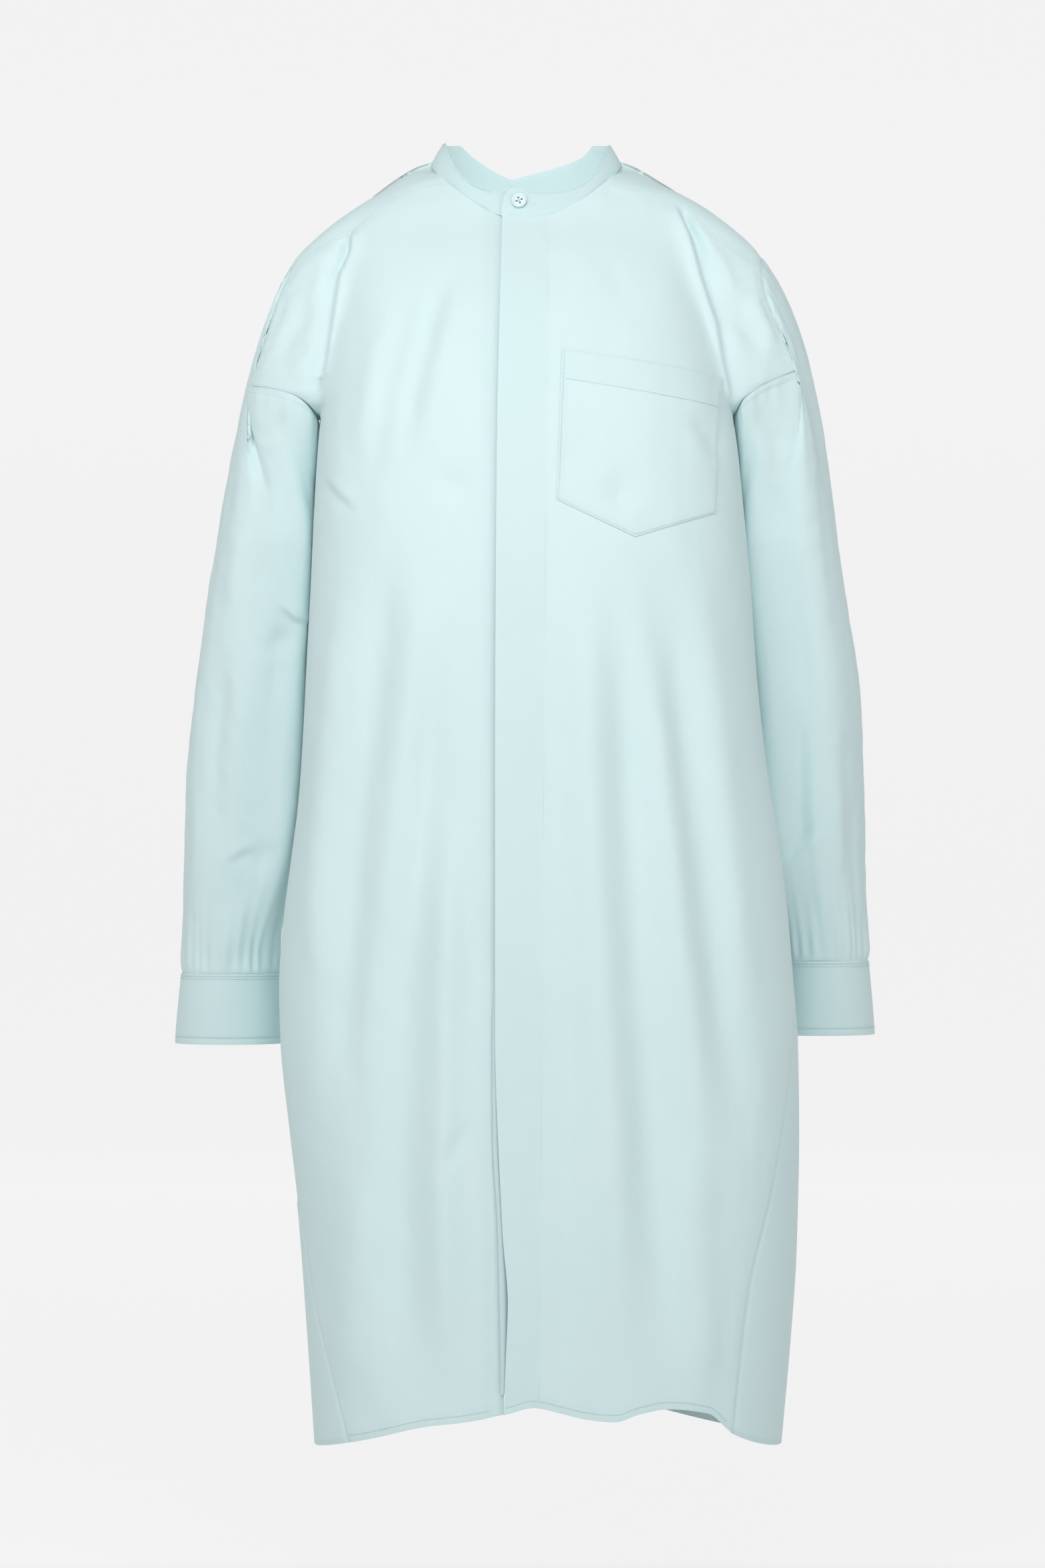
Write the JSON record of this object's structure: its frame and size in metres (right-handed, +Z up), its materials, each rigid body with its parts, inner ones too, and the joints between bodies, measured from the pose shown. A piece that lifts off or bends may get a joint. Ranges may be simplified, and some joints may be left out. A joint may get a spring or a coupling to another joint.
{
  "type": "patient gown",
  "caption": "Long-sleeved patient gown with a standing neck band, a concealed button front, a pointed breast pocket, dropped shoulders and buttoned cuffs.",
  "frame": {"origin": "middle of the neck opening, at the height of the front end of the neck band's seam", "axes": "+Z up the hanging gown, -Y out of its front, +X to the wearer's left"},
  "size_m": [0.5394, 0.283, 0.998],
  "materials": {
    "shirting": "fine plain-weave shirting, pale aqua, pressed",
    "button": "dyed-to-match resin, polished rim",
    "thread": "twisted polyester sewing thread"
  },
  "bodies": {
    "torso": {"front_left": "shirting", "front_right": "shirting", "back_panel": "shirting", "yoke_outer": "shirting", "yoke_lining": "shirting", "fly_strip": "shirting", "button_stand": "shirting", "fly_button_1": "button", "fly_button_1_thread": "thread", "fly_button_2": "button", "fly_button_2_thread": "thread", "fly_button_3": "button", "fly_button_3_thread": "thread", "fly_button_4": "button", "fly_button_4_thread": "thread", "fly_button_5": "button", "fly_button_5_thread": "thread", "fly_button_6": "button", "fly_button_6_thread": "thread", "collar_band_outer": "shirting", "collar_band_lining": "shirting", "breast_pocket": "shirting"},
    "neck_button": {"neck_button": "button", "neck_button_thread": "thread"},
    "left_sleeve": {"left_sleeve": "shirting", "left_sleeve_placket": "shirting", "left_cuff_outer": "shirting", "left_cuff_lining": "shirting"},
    "left_cuff_button": {"left_cuff_button": "button", "left_cuff_button_thread": "thread"},
    "right_sleeve": {"right_sleeve": "shirting", "right_sleeve_placket": "shirting", "right_cuff_outer": "shirting", "right_cuff_lining": "shirting"},
    "right_cuff_button": {"right_cuff_button": "button", "right_cuff_button_thread": "thread"}
  },
  "joints": [
    {"name": "neck_button_turn", "type": "hinge", "parent": "torso", "child": "neck_button", "pos_m": [-0.00544, -0.05674, 0.008], "axis": [-0.0743, -0.9552, 0.2866], "range_deg": [-20, 20]},
    {"name": "left_sleeve_swing", "type": "hinge", "parent": "torso", "child": "left_sleeve", "pos_m": [0.205, 0, -0.112], "axis": [0, -1, 0], "range_deg": [0, 75]},
    {"name": "left_cuff_button_turn", "type": "hinge", "parent": "left_sleeve", "child": "left_cuff_button", "pos_m": [0.2296, 0.0932, -0.6065], "axis": [0, 1, 0], "range_deg": [-20, 20]},
    {"name": "right_sleeve_swing", "type": "hinge", "parent": "torso", "child": "right_sleeve", "pos_m": [-0.205, 0, -0.112], "axis": [0, 1, 0], "range_deg": [0, 75]},
    {"name": "right_cuff_button_turn", "type": "hinge", "parent": "right_sleeve", "child": "right_cuff_button", "pos_m": [-0.2296, 0.0932, -0.6065], "axis": [0, 1, 0], "range_deg": [-20, 20]}
  ]
}
